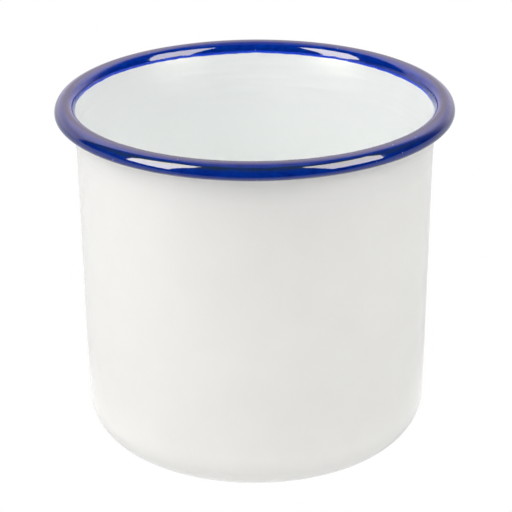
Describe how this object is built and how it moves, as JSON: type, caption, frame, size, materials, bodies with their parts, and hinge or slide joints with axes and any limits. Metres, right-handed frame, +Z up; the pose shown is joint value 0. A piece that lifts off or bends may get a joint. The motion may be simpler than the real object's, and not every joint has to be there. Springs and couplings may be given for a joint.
{
  "type": "enamelled cup",
  "caption": "Handleless enamelled steel cup with a slightly tapered wall, a rounded base corner and a rolled rim edged in blue.",
  "frame": {"origin": "centre of the ring that the cup stands on, at the underside of the base", "axes": "+Z up along the cup's axis, towards the mouth; +X and +Y are any two square directions, because the cup is round"},
  "size_m": [0.09, 0.09, 0.0812],
  "materials": {
    "pressed_steel": "satin",
    "ground_enamel": "gloss",
    "white_enamel": "gloss",
    "blue_enamel": "gloss"
  },
  "bodies": {
    "root": {"steel_shell": "pressed_steel", "ground_coat_inner": "ground_enamel", "ground_coat_outer": "ground_enamel", "white_coat_inner": "white_enamel", "white_coat_outer": "white_enamel", "blue_rim_coat": "blue_enamel"}
  },
  "joints": []
}
